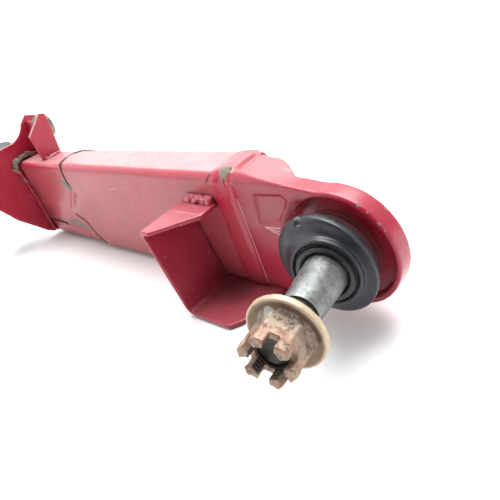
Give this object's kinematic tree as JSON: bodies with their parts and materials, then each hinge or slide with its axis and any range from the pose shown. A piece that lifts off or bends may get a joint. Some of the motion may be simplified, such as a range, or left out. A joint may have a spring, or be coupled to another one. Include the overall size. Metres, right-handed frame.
{
  "type": "suspension control arm",
  "caption": "Box-section suspension arm with a rubber-bushed pivot, a link sleeve, a side bracket and a ball joint with boot and flange nut.",
  "frame": {"origin": "centre of the pivot bore, at the middle of the sleeve's length", "axes": "+Z along the pivot bore, +X along the beam towards the ball joint, ball stud towards -Y"},
  "size_m": [0.422, 0.119, 0.1112],
  "materials": {
    "red_paint": "satin, dusty and scratched",
    "bare_weld": "rough",
    "worn_steel": "dull",
    "bush_rubber": "matte",
    "black_steel": "dull black",
    "seat_plastic": "matte",
    "boot_rubber": "satin",
    "stud_steel": "dull, speckled",
    "nut_steel": "dull zinc, tarnished"
  },
  "bodies": {
    "arm": {"beam_tube": "red_paint", "splice_collar": "red_paint", "plug_weld": "bare_weld", "knuckle_front": "red_paint", "knuckle_rear": "red_paint", "stub_front": "red_paint", "stub_rear": "red_paint", "splice_weld": "bare_weld", "pivot_plate": "red_paint", "pivot_web": "red_paint", "pivot_weld": "bare_weld", "pivot_tube": "red_paint", "tube_weld": "bare_weld", "bush_shell": "worn_steel", "bush_rubber": "bush_rubber", "ear_flange": "red_paint", "ear_weld": "red_paint", "link_sleeve": "worn_steel", "side_bracket": "red_paint", "bracket_weld": "red_paint", "joint_housing": "red_paint", "bearing_seat": "seat_plastic", "pressure_plate": "black_steel", "spring_washer": "black_steel", "end_cap": "black_steel", "dust_boot": "boot_rubber", "boot_base_ring": "black_steel"},
    "swivel": {"boot_lip_ring": "black_steel"},
    "stud": {"ball_stud": "stud_steel"},
    "nut": {"flange_nut": "nut_steel"},
    "sleeve": {"pivot_sleeve": "worn_steel"}
  },
  "joints": [
    {"name": "ball_swing", "type": "hinge", "parent": "arm", "child": "swivel", "pos_m": [0.364, 0.017, -0.029], "axis": [0, 0, 1], "range_deg": [-40, 16], "deforming": ["dust_boot"]},
    {"name": "stud_spin", "type": "hinge", "parent": "swivel", "child": "stud", "pos_m": [0.364, 0.017, -0.029], "axis": [0.2074, -0.9758, 0.0698], "continuous": true},
    {"name": "nut_turn", "type": "hinge", "parent": "stud", "child": "nut", "pos_m": [0.38018, -0.05911, -0.02356], "axis": [0.2074, -0.9758, 0.0698], "continuous": true},
    {"name": "pivot_twist", "type": "hinge", "parent": "arm", "child": "sleeve", "pos_m": [0, 0, 0], "axis": [0, 0, 1], "range_deg": [-25, 25], "stiffness_Nm_per_rad": 5}
  ]
}
